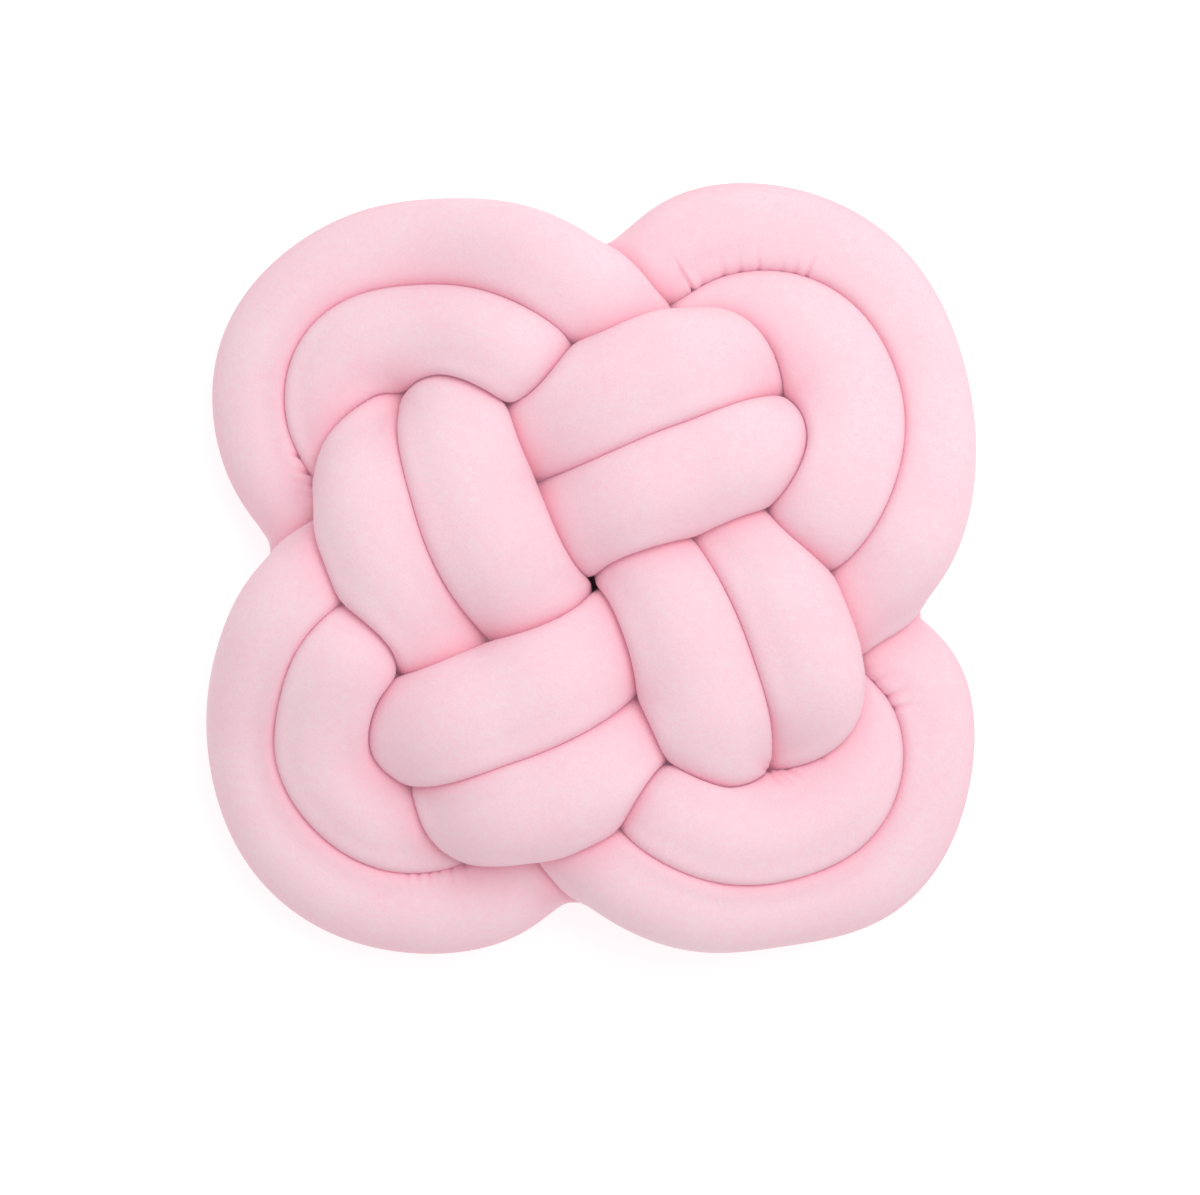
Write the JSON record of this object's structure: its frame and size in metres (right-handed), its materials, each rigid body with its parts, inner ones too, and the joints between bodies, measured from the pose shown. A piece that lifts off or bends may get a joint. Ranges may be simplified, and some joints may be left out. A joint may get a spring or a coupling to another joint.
{
  "type": "knot cushion",
  "caption": "Flat, square knot cushion of stuffed plush tubes laid in pairs, woven over and under in the middle, with a round double loop at each corner",
  "frame": {"origin": "under the middle of the cushion, on the surface that it lies on", "axes": "+X to the right of the cushion's face and +Y up its face, as the picture shows it; +Z out of the face"},
  "size_m": [0.3958, 0.3986, 0.096],
  "materials": {
    "plush_outer": "short pale pink plush",
    "plush_inner": "short pale pink plush"
  },
  "bodies": {
    "root": {"outer_tube": "plush_outer", "inner_tube": "plush_inner"}
  },
  "joints": []
}
